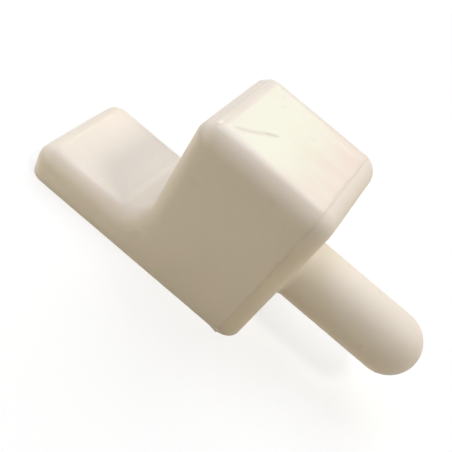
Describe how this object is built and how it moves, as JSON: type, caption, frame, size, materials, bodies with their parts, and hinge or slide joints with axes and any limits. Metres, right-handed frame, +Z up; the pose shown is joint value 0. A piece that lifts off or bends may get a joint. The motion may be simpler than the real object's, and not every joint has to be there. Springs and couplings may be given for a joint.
{
  "type": "hinge pin",
  "caption": "Moulded plastic hinge pin: a flat-footed block with a scooped side arm and a round domed pin that a door or lid turns on.",
  "frame": {"origin": "centre of the flat foot", "axes": "+X along the pin, from the block to the domed tip; +Z up from the foot; the part is symmetric left to right about the XZ plane"},
  "size_m": [0.05, 0.0163, 0.0225],
  "materials": {
    "moulded_plastic": "satin"
  },
  "bodies": {
    "root": {"hinge_pin": "moulded_plastic"}
  },
  "joints": []
}
